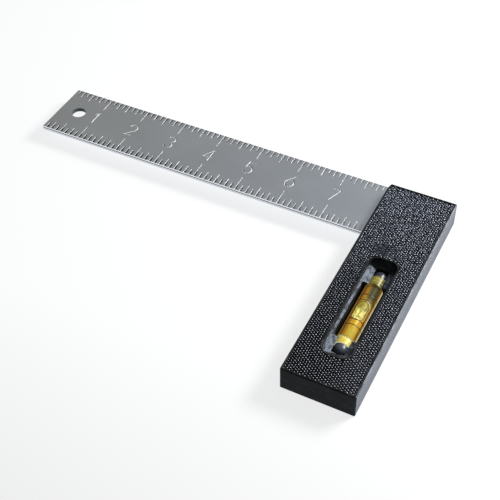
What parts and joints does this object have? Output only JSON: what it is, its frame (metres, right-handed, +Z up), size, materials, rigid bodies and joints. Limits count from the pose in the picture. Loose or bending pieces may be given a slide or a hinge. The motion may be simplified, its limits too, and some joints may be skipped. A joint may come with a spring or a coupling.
{
  "type": "try square",
  "caption": "Right-angle try square: a thin metal rule blade in a thick moulded stock with a built-in spirit vial, for marking and checking square and level.",
  "frame": {"origin": "middle of the footprint, on the plane of the stock's underside", "axes": "+X along the blade from its free end towards the stock, +Y across the blade towards its outer edge, +Z up out of the scale side"},
  "size_m": [0.24, 0.1394, 0.0146],
  "materials": {
    "stock": "moulded, fine pebble grain on the broad face",
    "blade": "satin sheet with cut marks",
    "vial": "clear, polished",
    "liquid": "clear yellow liquid",
    "plug": "smooth, slightly glossy"
  },
  "bodies": {
    "root": {"handle": "stock", "blade": "blade", "vial_barrel": "vial", "vial_liquid": "liquid", "vial_plug_far": "plug", "vial_plug_near": "plug"}
  },
  "joints": []
}
